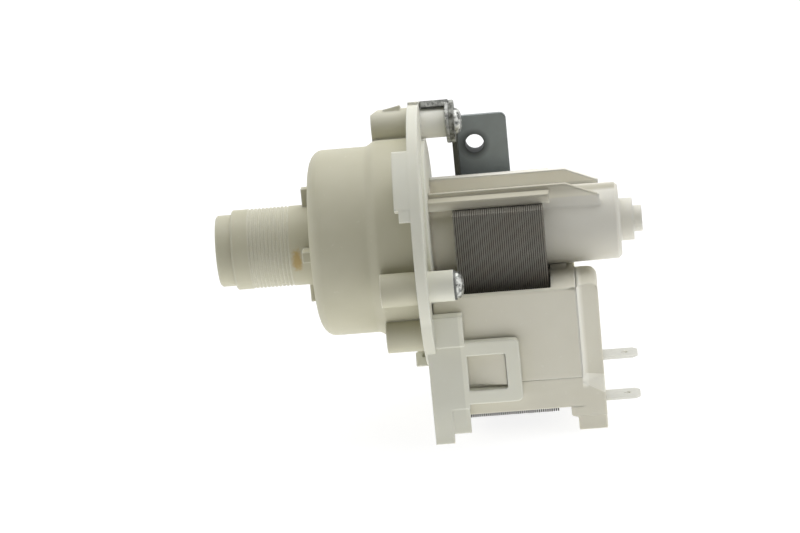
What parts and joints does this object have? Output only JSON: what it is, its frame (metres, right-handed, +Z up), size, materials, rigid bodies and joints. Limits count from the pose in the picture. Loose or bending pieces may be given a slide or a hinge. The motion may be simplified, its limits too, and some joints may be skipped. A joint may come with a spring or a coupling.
{
  "type": "washer drain pump",
  "caption": "Drain pump with axial inlet spigot, tangential outlet, synchronous motor with laminated core, coil box with spade terminals, clip-on frame and steel fixing bracket.",
  "frame": {"origin": "centre of the inlet spigot's mouth, on the shaft's axis", "axes": "+X along the shaft from the inlet to the motor's rear end, +Z up from the coil to the bracket, -Y towards the side that the terminals are on"},
  "size_m": [0.1304, 0.0973, 0.099],
  "materials": {
    "volute_plastic": "moulded polypropylene, warm beige",
    "frame_plastic": "moulded polypropylene, off-white",
    "can_plastic": "moulded plastic, greyish white",
    "coil_plastic": "moulded plastic, light grey-cream",
    "impeller_plastic": "moulded plastic, white",
    "dog_plastic": "moulded plastic, dark grey",
    "black_rubber": "soft black rubber",
    "sintered_bronze": "oil-filled sintered bronze",
    "ground_steel": "ground steel",
    "ferrite": "ground ferrite",
    "core_steel": "punched electrical steel sheets, dark oxide coat",
    "copper_wire": "lacquered copper wire",
    "bracket_steel": "dark grey plated steel",
    "zinc_steel": "bright zinc-plated steel",
    "tinned_brass": "tin-plated brass"
  },
  "bodies": {
    "pump": {"volute_housing": "volute_plastic", "chamber_seal": "black_rubber", "motor_frame": "frame_plastic", "rotor_can": "can_plastic", "bearing_carrier": "can_plastic", "shaft_seal": "black_rubber", "front_bush": "sintered_bronze", "rear_bush": "sintered_bronze", "rear_cushion": "black_rubber", "stator_core": "core_steel", "stack_rivets": "ground_steel", "near_bobbin": "coil_plastic", "far_bobbin": "coil_plastic", "near_winding": "copper_wire", "far_winding": "copper_wire", "thermal_cutout": "dog_plastic", "coil_housing": "coil_plastic", "coil_base": "coil_plastic", "terminal_block": "coil_plastic", "upper_terminal": "tinned_brass", "lower_terminal": "tinned_brass", "bracket_clip": "bracket_steel", "mounting_bracket": "bracket_steel", "screw_washers": "zinc_steel", "case_screws": "zinc_steel"},
    "rotor": {"rotor_shaft": "ground_steel", "rotor_magnet": "ferrite", "rotor_hub": "impeller_plastic", "front_washer": "sintered_bronze", "rear_washer": "sintered_bronze", "drive_dog": "dog_plastic", "impeller_cap": "impeller_plastic"},
    "impeller": {"impeller": "impeller_plastic"}
  },
  "joints": [
    {"name": "rotor_spin", "type": "hinge", "parent": "pump", "child": "rotor", "pos_m": [0.08, 0, 0], "axis": [1, 0, 0], "continuous": true},
    {"name": "impeller_free_play", "type": "hinge", "parent": "rotor", "child": "impeller", "pos_m": [0.053, 0, 0], "axis": [1, 0, 0], "range_deg": [0, 276]}
  ]
}
